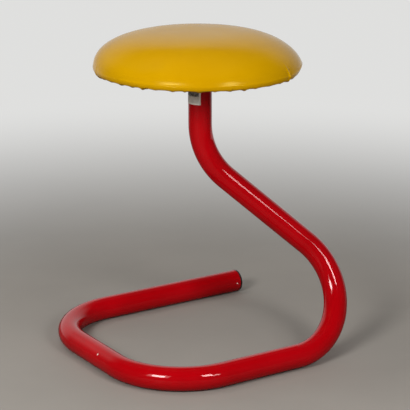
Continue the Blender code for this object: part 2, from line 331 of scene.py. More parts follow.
class Effects:
    """Effects that several finishes share, each a node group that is built once."""

    def new_group(self, name: str, values: dict[str, float], output: str) -> tuple[NodeBench, Any, Node]:
        """Start a node group that reads a place on the surface and some values.

        Args:
            name: The group's name.
            values: Names of its value inputs, with their usual settings.
            output: Name of its one output, a value.

        Returns:
            A bench for the group, the sockets of what it is given, and its output node.
        """
        tree = bpy.data.node_groups.new(name, "ShaderNodeTree")
        tree.interface.new_socket("Vector", in_out="INPUT", socket_type="NodeSocketVector")
        for label, usual in values.items():
            socket = tree.interface.new_socket(label, in_out="INPUT", socket_type="NodeSocketFloat")
            socket.default_value = usual
        tree.interface.new_socket(output, in_out="OUTPUT", socket_type="NodeSocketFloat")
        entry = tree.nodes.new("NodeGroupInput")
        leave = tree.nodes.new("NodeGroupOutput")
        return NodeBench(tree), entry.outputs, leave

    @cached_property
    def mottle(self) -> NodeTree:
        """Slow clouds of tone between two values.

        Returns:
            The node group.
        """
        bench, given, leave = self.new_group("mottle", {"Scale": 10.0, "Low": 0.0, "High": 1.0}, "Tone")
        inputs = {"Vector": given["Vector"], "Scale": given["Scale"], "Detail": 4.0, "Roughness": 0.55}
        clouds = bench.add("TexNoise", inputs).outputs[0]
        bench.feed(leave, {"Tone": bench.span(clouds, *CLOUD_SPAN, given["Low"], given["High"])})
        return bench.tree

    @cached_property
    def specks(self) -> NodeTree:
        """Scattered ragged specks: chips in paint, dust, or flecks in wood.

        Returns:
            The node group.
        """
        values = {"Scale": 100.0, "Size": 0.2, "Share": 0.1}
        bench, given, leave = self.new_group("specks", values, "Mask")
        ragged = bench.add("TexNoise", {"Vector": given["Vector"], "Scale": 900.0, "Detail": 2.0}).outputs[0]
        inputs = {"Vector": given["Vector"], "Scale": given["Scale"], "Randomness": 1.0}
        cells = bench.add("TexVoronoi", inputs)
        edge = bench.math("MULTIPLY", given["Size"], bench.span(ragged, *RAGGED_SPAN, 0.5, 1.5))
        near = bench.math("LESS_THAN", cells.outputs["Distance"], edge)
        pick = bench.add("SeparateColor", {0: cells.outputs["Color"]}).outputs[0]
        chosen = bench.math("LESS_THAN", pick, given["Share"])
        bench.feed(leave, {"Mask": bench.math("MULTIPLY", near, chosen)})
        return bench.tree

    @cached_property
    def scratches(self) -> NodeTree:
        """Thin broken scratches.

        Returns:
            The node group.
        """
        values = {"Scale": 60.0, "Width": 0.02, "Share": 0.5}
        bench, given, leave = self.new_group("scratches", values, "Mask")
        drift = bench.add("TexNoise", {"Vector": given["Vector"], "Scale": 25.0, "Detail": 3.0}).outputs[0]
        inputs = {"Vector": given["Vector"], "Scale": given["Scale"], "Randomness": 1.0}
        lines = bench.add("TexVoronoi", inputs, feature="DISTANCE_TO_EDGE").outputs["Distance"]
        thin = bench.math("LESS_THAN", lines, given["Width"])
        kept = bench.math("LESS_THAN", drift, given["Share"])
        bench.feed(leave, {"Mask": bench.math("MULTIPLY", thin, kept)})
        return bench.tree

    @cached_property
    def grain(self) -> NodeTree:
        """Fine pebbled height: orange peel in paint, grain in vinyl, cells in foam.

        Returns:
            The node group.
        """
        bench, given, leave = self.new_group("grain", {"Scale": 500.0, "Pebble": 0.5}, "Height")
        inputs = {"Vector": given["Vector"], "Scale": given["Scale"]}
        soft = bench.add("TexNoise", {**inputs, "Detail": 2.0}).outputs[0]
        cells = bench.add("TexVoronoi", {**inputs, "Smoothness": 0.6}, feature="SMOOTH_F1")
        inputs = {0: given["Pebble"], 2: soft, 3: cells.outputs["Distance"]}
        bench.feed(leave, {"Height": bench.add("Mix", inputs, data_type="FLOAT").outputs[0]})
        return bench.tree


EFFECTS = Effects()


class Finish:
    """A finish of the stool: one material, read in Object coordinates."""

    label = "finish"

    def lay_out(self, bench: SurfaceBench) -> None:
        """Place the material's nodes, which each finish does in its own way."""
        raise NotImplementedError

    def material(self) -> Material:
        """Build the finish.

        Returns:
            The material.
        """
        bench = SurfaceBench(self.label)
        self.lay_out(bench)
        return bench.material


@dataclass(frozen=True)
class Chip:
    """A place where the paint is knocked off."""

    place: Triple
    radius: float


@dataclass(frozen=True)
class RedEnamel(Finish):
    """Glossy red enamel on steel, chipped in places and rubbed where it lies on the floor."""

    label: str = "red_enamel"
    body: Colour = (0.44, 0.0010, 0.0040)
    deep: Colour = (0.385, 0.0007, 0.0030)
    primer: Colour = (0.78, 0.70, 0.66)
    bare: Colour = (0.16, 0.12, 0.11)
    gleam: Colour = (1.0, 0.72, 0.72)
    shine: float = 0.46
    chips: tuple[Chip, ...] = (
        Chip((-0.2017, -0.0287, 0.0304), 0.0017),
        Chip((0.1944, 0.1634, 0.0198), 0.0012),
    )
    chip_depth: float = 0.00012
    rub_height: float = 0.0016
    scratch_roughness: float = 0.12
    worn_roughness: float = 0.6
    peel_share: float = 0.02

    def lay_out(self, bench: SurfaceBench) -> None:
        """Place the red, its chips, floor rub, scratches and orange peel.

        Args:
            bench: Bench of the enamel's material.
        """
        tone = bench.effect(EFFECTS.mottle, Scale=14.0)
        colour = bench.mix(tone, self.deep, self.body)
        knocks = bench.effect(EFFECTS.specks, Scale=55.0, Size=0.035, Share=0.03)
        ragged = bench.effect(EFFECTS.mottle, Scale=700.0, Low=0.5, High=1.3)
        for chip in self.chips:
            away = bench.vector("DISTANCE", bench.place, chip.place).outputs["Value"]
            edge = bench.math("MULTIPLY", ragged, chip.radius)
            knocks = bench.math("MAXIMUM", knocks, bench.math("LESS_THAN", away, edge))
        colour = bench.mix(knocks, colour, self.primer)
        low = bench.span(bench.height(bench.place), 0.0, self.rub_height, 1.0, 0.0)
        rub = bench.math("MULTIPLY", low, bench.effect(EFFECTS.mottle, Scale=60.0))
        colour = bench.mix(rub, colour, self.bare)
        smear = bench.effect(EFFECTS.mottle, Scale=22.0, Low=0.035, High=0.07)
        lines = bench.effect(EFFECTS.scratches, Scale=45.0, Width=0.012, Share=0.42)
        gloss = bench.math("MULTIPLY_ADD", lines, self.scratch_roughness, smear)
        worn = bench.math("MULTIPLY", bench.math("MAXIMUM", knocks, rub), self.worn_roughness)
        bench.coat({"Base Color": colour, "Roughness": bench.math("MAXIMUM", gloss, worn)})
        bench.coat({"Specular IOR Level": self.shine, "Specular Tint": paint(self.gleam)})
        peel = bench.effect(EFFECTS.grain, Scale=260.0, Pebble=0.0)
        height = bench.math("SUBTRACT", bench.math("MULTIPLY", peel, self.peel_share), knocks)
        bench.raise_surface(height, self.chip_depth)


@dataclass(frozen=True)
class YellowVinyl(Finish):
    """Smooth glossy yellow vinyl, a little grimy and darkened with painted shade where it is gathered under
    the edge.
    """

    label: str = "yellow_vinyl"
    body: Colour = (0.54, 0.285, 0.0004)
    deep: Colour = (0.505, 0.262, 0.0003)
    # Grime colour, which the dust also uses, and painted shade at the hem.
    grime_and_shade: Colour = (0.22, 0.120, 0.004)
    gleam: Colour = (1.0, 0.90, 0.25)
    shine: float = 0.17
    hem_level: float = 0.4605
    grime_and_shade_height: float = 0.0030
    grime_and_shade_roughness: float = 0.5
    dust_share: float = 0.35
    grain_depth: float = 0.00004

    def lay_out(self, bench: SurfaceBench) -> None:
        """Place the yellow, the grime and painted shade at the hem, dust and a fine grain.

        Args:
            bench: Bench of the vinyl's material.
        """
        tone = bench.effect(EFFECTS.mottle, Scale=9.0)
        colour = bench.mix(tone, self.deep, self.body)
        level = bench.height(bench.place)
        # Partly real grime and partly painted shade: the vinyl is darkened towards the hem, under the seat's
        # edge, where shade falls.
        low = bench.span(level, self.hem_level, self.hem_level + self.grime_and_shade_height, 1.0, 0.0)
        soiled_and_shaded = bench.math("MULTIPLY", low, bench.effect(EFFECTS.mottle, Scale=70.0, Low=0.25, High=0.85))
        colour = bench.mix(soiled_and_shaded, colour, self.grime_and_shade)
        dust = bench.effect(EFFECTS.specks, Scale=160.0, Size=0.06, Share=0.04)
        colour = bench.mix(bench.math("MULTIPLY", dust, self.dust_share), colour, self.grime_and_shade)
        gloss = bench.effect(EFFECTS.mottle, Scale=30.0, Low=0.17, High=0.22)
        gloss = bench.math("MULTIPLY_ADD", soiled_and_shaded, self.grime_and_shade_roughness, gloss)
        bench.coat({"Base Color": colour, "Roughness": gloss})
        bench.coat({"Specular IOR Level": self.shine, "Specular Tint": paint(self.gleam)})
        bench.raise_surface(bench.effect(EFFECTS.grain, Scale=850.0, Pebble=0.7), self.grain_depth)


@dataclass(frozen=True)
class BlackPlastic(Finish):
    """Moulded black plastic, satin and dusty."""

    label: str = "black_plastic"
    body: Colour = (0.006, 0.006, 0.0065)
    dust: Colour = (0.05, 0.047, 0.044)
    dust_share: float = 0.7
    shine: float = 0.3
    grain_depth: float = 0.00005

    def lay_out(self, bench: SurfaceBench) -> None:
        """Place the black, its dust, scratches and moulded grain.

        Args:
            bench: Bench of the plastic's material.
        """
        specks = bench.effect(EFFECTS.specks, Scale=420.0, Size=0.25, Share=0.12)
        clouds = bench.effect(EFFECTS.mottle, Scale=80.0, Low=0.0, High=0.25)
        dusty = bench.math("MAXIMUM", clouds, bench.math("MULTIPLY", specks, self.dust_share))
        colour = bench.mix(dusty, self.body, self.dust)
        gloss = bench.effect(EFFECTS.mottle, Scale=150.0, Low=0.38, High=0.55)
        bench.coat({"Base Color": colour, "Roughness": gloss, "Specular IOR Level": self.shine})
        lines = bench.effect(EFFECTS.scratches, Scale=120.0, Width=0.02, Share=0.45)
        grain = bench.effect(EFFECTS.grain, Scale=1400.0, Pebble=0.4)
        bench.raise_surface(bench.math("SUBTRACT", grain, lines), self.grain_depth)


@dataclass(frozen=True)
class Plywood(Finish):
    """Raw birch plywood: pale face veneer with long grain, and dark glue lines between plies at its edge."""

    label: str = "plywood"
    pale: Colour = (0.60, 0.43, 0.25)
    dark: Colour = (0.42, 0.27, 0.14)
    glue: Colour = (0.20, 0.115, 0.055)
    ply: float = 0.0024
    glue_line: float = 0.16
    glue_share: float = 0.8
    edge_slope: float = 0.5
    fleck_share: float = 0.6
    grain_stretch: Triple = (6.0, 90.0, 90.0)
    grain_depth: float = 0.00025

    def lay_out(self, bench: SurfaceBench) -> None:
        """Place the veneer's streaks and flecks, and the glue lines at the edge.

        Args:
            bench: Bench of the plywood's material.
        """
        along = bench.add("Mapping", {"Vector": bench.place, "Scale": self.grain_stretch}).outputs[0]
        inputs = {"Vector": along, "Scale": 1.0, "Detail": 5.0, "Distortion": 0.6}
        streaks = bench.add("TexNoise", inputs).outputs[0]
        colour = bench.mix(bench.span(streaks, *RAGGED_SPAN), self.pale, self.dark)
        ply = bench.math("FRACT", bench.math("DIVIDE", bench.height(bench.place), self.ply))
        slope = bench.math("ABSOLUTE", bench.height(bench.add("NewGeometry").outputs["True Normal"]))
        line = bench.math("LESS_THAN", ply, self.glue_line)
        edge = bench.math("MULTIPLY", line, bench.math("LESS_THAN", slope, self.edge_slope))
        colour = bench.mix(bench.math("MULTIPLY", edge, self.glue_share), colour, self.glue)
        flecks = bench.effect(EFFECTS.specks, Vector=along, Scale=1.4, Size=0.12, Share=0.25)
        colour = bench.mix(bench.math("MULTIPLY", flecks, self.fleck_share), colour, self.glue)
        rough = bench.effect(EFFECTS.mottle, Scale=40.0, Low=0.62, High=0.8)
        bench.coat({"Base Color": colour, "Roughness": rough})
        bench.raise_surface(streaks, self.grain_depth)


@dataclass(frozen=True)
class ZincPlate(Finish):
    """Bright zinc plating with a faint spangle, dulled in patches."""

    label: str = "zinc_plate"
    bright: Colour = (0.66, 0.66, 0.64)
    dull: Colour = (0.42, 0.42, 0.41)
    grain_depth: float = 0.00002

    def lay_out(self, bench: SurfaceBench) -> None:
        """Place the plating's dull patches, scratches and spangle.

        Args:
            bench: Bench of the plating's material.
        """
        tone = bench.effect(EFFECTS.mottle, Scale=260.0)
        lines = bench.effect(EFFECTS.scratches, Scale=500.0, Width=0.03, Share=0.5)
        colour = bench.mix(bench.math("MAXIMUM", tone, lines), self.bright, self.dull)
        rough = bench.effect(EFFECTS.mottle, Scale=180.0, Low=0.24, High=0.46)
        bench.coat({"Base Color": colour, "Roughness": rough, "Metallic": 1.0})
        grain = bench.effect(EFFECTS.grain, Scale=1600.0, Pebble=0.3)
        bench.raise_surface(bench.math("SUBTRACT", grain, lines), self.grain_depth)


@dataclass(frozen=True)
class OpenFoam(Finish):
    """Open-cell foam, yellowed with age."""

    label: str = "open_foam"
    pale: Colour = (0.74, 0.63, 0.40)
    aged: Colour = (0.58, 0.43, 0.20)
    roughness: float = 0.95
    cell_span: Pair = (0.1, 0.5)
    cell_share: float = 0.4
    cell_depth: float = 0.0006

    def lay_out(self, bench: SurfaceBench) -> None:
        """Place the foam's yellowing and its cells.

        Args:
            bench: Bench of the foam's material.
        """
        tone = bench.effect(EFFECTS.mottle, Scale=18.0)
        cells = bench.effect(EFFECTS.grain, Scale=900.0, Pebble=1.0)
        colour = bench.mix(tone, self.pale, self.aged)
        colour = bench.mix(bench.span(cells, *self.cell_span, 0.0, self.cell_share), colour, self.aged)
        bench.coat({"Base Color": colour, "Roughness": self.roughness})
        bench.raise_surface(cells, self.cell_depth)


@dataclass(frozen=True)
class BlankPaper(Finish):
    """A blank paper label: pale border, plain panel in two greys, worn and a little yellowed."""

    label: str = "blank_paper"
    paper: Colour = (0.88, 0.84, 0.77)
    panel: Colour = (0.60, 0.58, 0.52)
    head_panel: Colour = (0.06, 0.06, 0.055)
    border: float = 0.08
    head_line: float = 0.45
    rub_share: float = 0.35
    roughness: float = 0.55

    def lay_out(self, bench: SurfaceBench) -> None:
        """Place the paper and its panel, which lies on the label's own UV map.

        Args:
            bench: Bench of the paper's material.
        """
        flat = bench.add("SeparateXYZ", {0: bench.add("TexCoord").outputs["UV"]}).outputs
        inside = []
        for axis in ("X", "Y"):
            off = bench.math("ABSOLUTE", bench.math("SUBTRACT", flat[axis], 0.5))
            inside.append(bench.math("LESS_THAN", off, 0.5 - self.border))
        worn = bench.effect(EFFECTS.mottle, Scale=240.0, Low=0.7, High=1.0)
        head = bench.math("GREATER_THAN", flat["Y"], self.head_line)
        panel = bench.mix(head, self.panel, self.head_panel)
        shown = bench.math("MULTIPLY", bench.math("MULTIPLY", *inside), worn)
        colour = bench.mix(shown, self.paper, panel)
        rubbed = bench.effect(EFFECTS.scratches, Scale=130.0, Width=0.03, Share=0.45)
        colour = bench.mix(bench.math("MULTIPLY", rubbed, self.rub_share), colour, self.paper)
        bench.coat({"Base Color": colour, "Roughness": self.roughness})


@dataclass
class TubeFrame:
    """The one bent tube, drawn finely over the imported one, with its label."""

    enamel: Material
    paper: Material
    slant_height: float = 0.318
    slant_reach: float = 0.302
    post_bend: float = 0.120
    riser_bend: float = 0.107
    floor_bend: float = 0.122
    sides: int = 72
    bend_step: float = math.radians(2)
    label_low: float = 0.407
    label_height: float = 0.030
    label_edge: float = math.radians(-119)
    label_sweep: float = math.radians(-118)
    label_thickness: float = 0.00012
    label_facets: tuple[int, int] = (24, 10)

    def corners(self) -> list[Vector]:
        """Corners of the tube's axis.

        Returns:
            The corners, from the tube's floor end to the top of its post.
        """
        low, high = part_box("frame_tube")
        radius = tube_radius()
        left = low.x + radius
        side = high.y - radius
        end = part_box("end_plug")[1].x - PLUG_HEAD - CLEARANCE
        post = axis_of("seat_plate")
        return [
            Vector((end, side, radius)),
            Vector((left, side, radius)),
            Vector((left, -side, radius)),
            Vector((post.x + self.slant_reach, -side, radius)),
            Vector((post.x, post.y, self.slant_height)),
            Vector((post.x, post.y, high.z)),
        ]

    def start_ring(self, work: BMesh, place: Vector, along: Vector) -> list[Any]:
        """A flat ring of the tube's section, square to its first run.

        Args:
            work: The mesh that the ring goes into.
            place: Middle of the ring.
            along: Direction of the run.

        Returns:
            The ring's faces, edges and vertices.
        """
        square = Matrix.Translation(place) @ along.to_track_quat("Z", "Y").to_matrix().to_4x4()
        for radius in (tube_radius(), tube_radius() - TUBE_WALL):
            bmesh.ops.create_circle(work, segments=self.sides, radius=radius, matrix=square)
        bmesh.ops.bridge_loops(work, edges=work.edges[:])
        return [*work.faces, *work.edges, *work.verts]

    def build_tube(self) -> Object:
        """Draw the ring along each straight run and swing it round each bend.

        Returns:
            The tube.
        """
        corners = self.corners()
        bends = [self.floor_bend, self.floor_bend, self.riser_bend, self.post_bend]
        work = bmesh.new()
        ring = self.start_ring(work, corners[0], corners[1] - corners[0])
        place = corners[0]
        for before, corner, after, bend in zip(corners, corners[1:], corners[2:], bends):
            back = (before - corner).normalized()
            ahead = (after - corner).normalized()
            half_angle = back.angle(ahead) / 2
            reach = bend / math.tan(half_angle)
            centre = corner + (back + ahead).normalized() * (bend / math.sin(half_angle))
            turn = math.pi - 2 * half_angle
            ring = bmesh.ops.spin(work, geom=ring, dvec=corner + back * reach - place, steps=1)["geom_last"]
            ring = bmesh.ops.spin(
                work,
                geom=ring,
                cent=centre,
                axis=ahead.cross(back).normalized(),
                angle=turn,
                steps=math.ceil(turn / self.bend_step),
            )["geom_last"]
            place = corner + ahead * reach
        bmesh.ops.spin(work, geom=ring, dvec=corners[-1] - place, steps=1)
        bmesh.ops.recalc_face_normals(work, faces=work.faces)
        tube = finished_piece("bent_tube", work, self.enamel)
        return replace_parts(tube, "frame_tube")

    def build_label(self) -> Object:
        """Wrap a blank label round the post, under the seat.

        Returns:
            The label.
        """
        across, upright = self.label_facets
        work = bmesh.new()
        work.loops.layers.uv.new("UVMap")
        bmesh.ops.create_grid(work, x_segments=across, y_segments=upright, size=0.5, calc_uvs=True)
        axis = axis_of("seat_plate")
        radius = tube_radius() + self.label_thickness
        for vertex in work.verts:
            swing = self.label_edge + self.label_sweep * (vertex.co.x + 0.5)
            level = self.label_low + self.label_height * (vertex.co.y + 0.5)
            vertex.co = axis + Vector((radius * math.cos(swing), radius * math.sin(swing), level))
        bmesh.ops.recalc_face_normals(work, faces=work.faces)
        outward = sum((face.normal.dot(face.calc_center_median() - axis) for face in work.faces), 0.0)
        if outward < 0:
            bmesh.ops.reverse_faces(work, faces=work.faces)
        label = finished_piece("post_label", work, self.paper)
        skin = label.modifiers.new("paper", "SOLIDIFY")
        skin.thickness = self.label_thickness
        skin.offset = -1.0
        return label

    def build(self) -> None:
        """Build the tube and its label."""
        self.build_tube()
        self.build_label()


@dataclass
class FloorPlug:
    """Plastic plug in the tube's floor end: rounded head, and a finned hollow barrel inside the tube."""

    plastic: Material
    rounding: float = 0.0013
    barrel_wall: float = 0.002
    fins: int = 4
    fin_height: float = 0.0016
    fin_thickness: float = 0.0012
    dish: float = 0.0005
    dish_rim: float = 0.004
    sides: int = 96
    round_facets: int = 8

    def outline(self) -> list[Vector]:
        """Half section of the plug.

        Returns:
            The points, with the plug's axis upright and its head's inner face at height 0.
        """
        low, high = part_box("end_plug")
        radius = tube_radius()
        depth = high.x - low.x - PLUG_HEAD
        grip = radius - TUBE_WALL - CLEARANCE
        barrel = grip - self.fin_height
        inner = barrel - self.barrel_wall
        round_centre = point(radius - self.rounding, PLUG_HEAD - self.rounding)
        dish_radius = radius - self.dish_rim
        points = [
            point(0.0, PLUG_HEAD - self.dish),
            point(dish_radius - self.dish, PLUG_HEAD - self.dish),
            point(dish_radius, PLUG_HEAD),
            *arc(round_centre, (self.rounding, self.rounding), 90, 0, self.round_facets),
            point(radius, 0.0),
            point(barrel, 0.0),
        ]
        for i in range(self.fins):
            top = -depth * (i + 1) / (self.fins + 1)
            points += [point(barrel, top), point(grip, top), point(barrel, top - self.fin_thickness)]
        return points + [point(barrel, -depth), point(inner, -depth), point(inner, 0.0), point(0.0, 0.0)]

    def build(self) -> None:
        """Turn the plug and push it into the tube's end."""
        low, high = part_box("end_plug")
        seat = Vector((high.x - PLUG_HEAD, (low.y + high.y) / 2, (low.z + high.z) / 2))
        work = turn_outline(self.outline(), self.sides, Vector())
        lay = Matrix.Translation(seat) @ Matrix.Rotation(math.pi / 2, 4, "Y")
        bmesh.ops.transform(work, matrix=lay, verts=work.verts)
        plug = finished_piece("floor_end_plug", work, self.plastic)
        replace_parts(plug, "end_plug")


@dataclass(frozen=True)
class Crease:
    """A line at the seat's edge where the vinyl is pulled in, or stands up where depth is negative."""

    swing: float
    width: float
    depth: float
    reach: float


@dataclass(frozen=True)
class PadSide:
    """Section of the worn pad on one side of the seat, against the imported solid's own section."""

    wider: float
    lower: float
    sag: float
    hang: float
    fullness_out: float
    fullness_up: float
    turn_in: float
    turn_down: float

    def blend(self, other: PadSide, share: float) -> PadSide:
        """The section between this side and another one.

        Args:
            other: The other side.
            share: How far the section has gone over to it, from 0 to 1.

        Returns:
            The section in between.
        """
        sizes = zip(vars(self).values(), vars(other).values())
        return PadSide(*(mine + (theirs - mine) * share for mine, theirs in sizes))


@dataclass
class SeatPad:
    """Foam pad and vinyl cover, which is pulled over the board's edge and stapled under it in pleats."""

    vinyl: Material
    foam: Material
    steel: Material
    crown: float = 0.050
    draw: float = 0.0145
    fullness: Pair = (2.6, 1.76)
    sunk: float = 0.0019
    full_side: PadSide = PadSide(0.0046, -0.0084, 0.0022, 0.9, 2.74, 2.38, 2.8, 3.2)
    thin_side: PadSide = PadSide(-0.0034, -0.0026, 0.0, 0.15, 3.38, 1.42, 1.3, 1.8)
    front_side: PadSide = PadSide(0.0012, -0.0068, 0.0, 0.6, 3.4, 1.5, 5.0, 5.0)
    full_swing: float = math.radians(147.12)
    front_swing: float = math.radians(-122.5)
    front_start: float = 0.5
    front_fade: float = 0.4
    cover_thickness: float = 0.0012
    foam_gap: float = 0.001
    hem_width: float = 0.026
    hem_ragged: float = 0.0022
    ragged_pitch: float = 9.0
    pleats: int = 44
    pleat_columns: int = 15
    pleat_depth: Pair = (0.0010, 0.0042)
    pleat_jitter: float = 0.22
    pleat_swell: float = 0.004
    pleat_shape: Pair = (0.5, 0.9)
    pleat_ease: float = 0.6
    pleat_onset: int = 4
    hang_gain: float = 0.5
    hang_loss: float = 0.9
    tuck_share: float = 0.13
    roll: float = 0.0009
    roll_width: float = 0.0022
    roll_shape: Pair = (0.8, 0.4)
    roll_pitch: float = 6.0
    crown_facets: int = 44
    edge_facets: int = 16
    hem_rows: int = 10
    sag_depth: float = 0.0005
    sag_pitch: float = 11.0
    creases: tuple[Crease, ...] = (
        Crease(math.radians(-66.0), 0.0026, -0.0019, 0.026),
        Crease(math.radians(-98.5), 0.0026, 0.0006, 0.010),
        Crease(math.radians(-105.0), 0.0026, 0.0010, 0.010),
        Crease(math.radians(-132.2), 0.0026, 0.0008, 0.008),
        Crease(math.radians(-151.3), 0.0026, 0.0010, 0.009),
        Crease(math.radians(163.0), 0.0028, -0.0011, 0.016),
    )
    crease_hold: float = 0.5
    staple_crown: float = 0.0105
    staple_wire: Pair = (0.0011, 0.0006)
    staple_round: float = 0.3
    staple_inset: float = 0.013
    staple_skew: float = math.radians(14)
    seed: int = 11
    axis: Vector = field(init=False)
    radius: float = field(init=False)
    board_radius: float = field(init=False)
    board_top: float = field(init=False)
    top_level: float = field(init=False)
    rim_level: float = field(init=False)
    hem_level: float = field(init=False)
    full_way: Vector = field(init=False)
    front_way: Vector = field(init=False)
    staples: list[float] = field(init=False, default_factory=list)
    swells: list[float] = field(init=False, default_factory=list)

    def __post_init__(self) -> None:
        """Take the pad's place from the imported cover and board, and scatter its pleats."""
        low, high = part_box("seat_cover")
        board_low, board_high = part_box("seat_board")
        self.axis = axis_of("seat_cover")
        self.radius = (high.x - low.x) / 2
        self.board_radius = (board_high.x - board_low.x) / 2
        self.board_top = board_high.z
        self.top_level = high.z
        self.rim_level = high.z - self.crown
        self.hem_level = self.rim_level - self.draw
        self.full_way = Vector((math.cos(self.full_swing), math.sin(self.full_swing), 0.0))
        self.front_way = Vector((math.cos(self.front_swing), math.sin(self.front_swing), 0.0))
        chance = random.Random(self.seed)
        step = 2 * math.pi / self.pleats
        for i in range(self.pleats):
            self.staples.append(step * (i + 0.5 + self.pleat_jitter * chance.uniform(-1, 1)))
            self.swells.append(chance.uniform(*self.pleat_depth))

    def outline(self, inset: float) -> list[Vector]:
        """Half section of the even pad, from its crown to where it turns under the board.

        Args:
            inset: How far the line lies inside the cover's outer side.

        Returns:
            The points, with the seat's axis at X = 0.
        """
        points = [point(0.0, self.top_level - inset)]
        for i in range(1, self.crown_facets + 1):
            swing = math.pi / 2 * (1 - i / self.crown_facets)
            out = (self.radius - inset) * math.cos(swing) ** (2 / self.fullness[0])
            rise = (self.crown - inset) * math.sin(swing) ** (2 / self.fullness[1])
            points.append(point(out, self.rim_level + rise))
        pad = self.radius - self.board_radius
        corner = point(self.board_radius, self.rim_level)
        return points + arc(corner, (pad - inset, self.draw - inset), 0, -90, self.edge_facets)[1:]

    def side_at(self, flat: Vector) -> PadSide:
        """The pad's section in one direction.

        Args:
            flat: The level way from the seat's axis to a point of the pad.

        Returns:
            The section there.
        """
        way = flat.normalized()
        side = self.full_side.blend(self.thin_side, (1 - way.dot(self.full_way)) / 2)
        outer = smoothstep((flat.length / self.radius - self.front_start) / self.front_fade)
        return side.blend(self.front_side, outer * smoothstep(way.dot(self.front_way)))

    def settled(self, place: Vector, inset: float = 0.0) -> Vector:
        """Where a point of the even pad lies on the worn one, which is fuller on one side.

        Args:
            place: A point of the even pad.
            inset: How far its outline lies inside the cover's outer side.

        Returns:
            The point of the worn pad.
        """
        flat = level_way(self.axis, place)
        side = self.side_at(flat) if flat.length > WELD_DISTANCE else self.full_side
        rim = self.rim_level + side.lower
        reach = self.radius + side.wider - inset
        sunk = self.top_level - self.sunk - inset - rim
        if place.z >= self.rim_level - WELD_DISTANCE:
            swing = math.acos(min(1.0, flat.length / (self.radius - inset)) ** (self.fullness[0] / 2))
            out = reach * math.cos(swing) ** (2 / side.fullness_out)
            level = rim + sunk * max(0.0, math.sin(swing)) ** (2 / side.fullness_up)
            level += noise.noise(place * self.sag_pitch) * self.sag_depth * math.sin(swing)
        else:
            swing = math.asin(min(1.0, (self.rim_level - place.z) / (self.draw - inset)))
            out = min(flat.length, self.board_radius)
            out += (reach - self.board_radius) * max(0.0, math.cos(swing)) ** (2 / side.turn_in)
            under = smoothstep((self.board_radius - flat.length) / self.staple_inset)
            bottom = self.hem_level + inset - side.sag * (1 - under)
            level = rim - (rim - bottom) * math.sin(swing) ** (2 / side.turn_down)
        return self.axis + flat.normalized() * out + UP * level

    def pleat(self, swing: float) -> float:
        """How far the vinyl swells between its staples.

        Args:
            swing: Angle round the seat, from +X towards +Y.

        Returns:
            The swelling there.
        """
        swing %= 2 * math.pi
        i = bisect_right(self.staples, swing) - 1
        start = self.staples[i] if i >= 0 else self.staples[-1] - 2 * math.pi
        end = self.staples[i + 1] if i + 1 < self.pleats else self.staples[0] + 2 * math.pi
        share = min(1.0, max(0.0, (swing - start) / (end - start)))
        broad, narrow = self.pleat_shape
        tuck = bell((share - 0.5) / self.tuck_share)
        return self.swells[i] * (broad * math.sin(math.pi * share) ** self.pleat_ease + narrow * tuck)

    def gathered(self, place: Vector) -> Vector:
        """How the pleats, the rolled edge and the creases move the cover.

        Args:
            place: A point of the even cover.

        Returns:
            The point's move.
        """
        flat = level_way(self.axis, place)
        if flat.length < WELD_DISTANCE:
            return Vector()
        out = flat.length
        swing = math.atan2(flat.y, flat.x)
        outward = flat.normalized()
        down = smoothstep((self.rim_level - place.z) / self.draw)
        swell = self.pleat(swing) * self.side_at(flat).hang
        if down > 0 and out < self.board_radius - WELD_DISTANCE:
            inward = self.board_radius - out
            under = inward / self.hem_width
            hang = 1.0 + self.hang_gain * smoothstep(inward / self.pleat_swell) - self.hang_loss * under
            ragged = noise.noise(outward * self.ragged_pitch) * self.hem_ragged * under
            return outward * ragged - UP * (swell * hang)
        move = (outward * (1 - down) - UP * down).normalized() * (swell * down**self.pleat_onset)
        roll = self.roll * bell((place.z - self.rim_level) / self.roll_width)
        usual, uneven = self.roll_shape
        move += outward * (roll * (usual + uneven * noise.noise(outward * self.roll_pitch)))
        for crease in self.creases:
            across = ((swing - crease.swing + math.pi) % (2 * math.pi) - math.pi) * out
            height = (place.z - self.hem_level) / crease.reach
            fold = (across / crease.width) ** 2
            pull = (1 - fold) * math.exp(-fold) * (1 - smoothstep(height - self.crease_hold))
            move -= outward * (crease.depth * pull)
        return move

    def build_cover(self) -> Object:
        """Turn the cover, let it settle, and gather it under the board.

        Returns:
            The cover.
        """
        inward = [self.hem_width * (i + 1) / self.hem_rows for i in range(self.hem_rows)]
        hem = [point(self.board_radius - reach, self.hem_level) for reach in inward]
        work = turn_outline(self.outline(0.0) + hem, self.pleats * self.pleat_columns, self.axis)
        for vertex in work.verts:
            vertex.co = self.settled(vertex.co) + self.gathered(vertex.co)
        cover = finished_piece("vinyl_cover", work, self.vinyl)
        skin = cover.modifiers.new("vinyl", "SOLIDIFY")
        skin.thickness = self.cover_thickness
        skin.offset = -1.0
        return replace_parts(cover, "seat_cover")

    def build_foam(self) -> Object:
        """Turn the foam that fills the cover and wraps the board's edge.

        Returns:
            The foam pad.
        """
        inset = self.cover_thickness + self.foam_gap
        recess = self.board_radius + CLEARANCE
        edge = recess + CLEARANCE
        outer = [spot for spot in self.outline(inset) if spot.x > edge or spot.z > self.rim_level]
        floor = self.board_top + CLEARANCE
        inner = [point(recess, outer[-1].z), point(recess, floor), point(0.0, floor)]
        work = turn_outline(outer + inner, self.pleats * self.pleat_columns // 2, self.axis)
        for vertex in work.verts:
            out = level_way(self.axis, vertex.co).length
            if out > recess + WELD_DISTANCE or vertex.co.z > self.rim_level:
                vertex.co = self.settled(vertex.co, inset)
        pad = finished_piece("foam_pad", work, self.foam)
        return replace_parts(pad, "seat_foam")

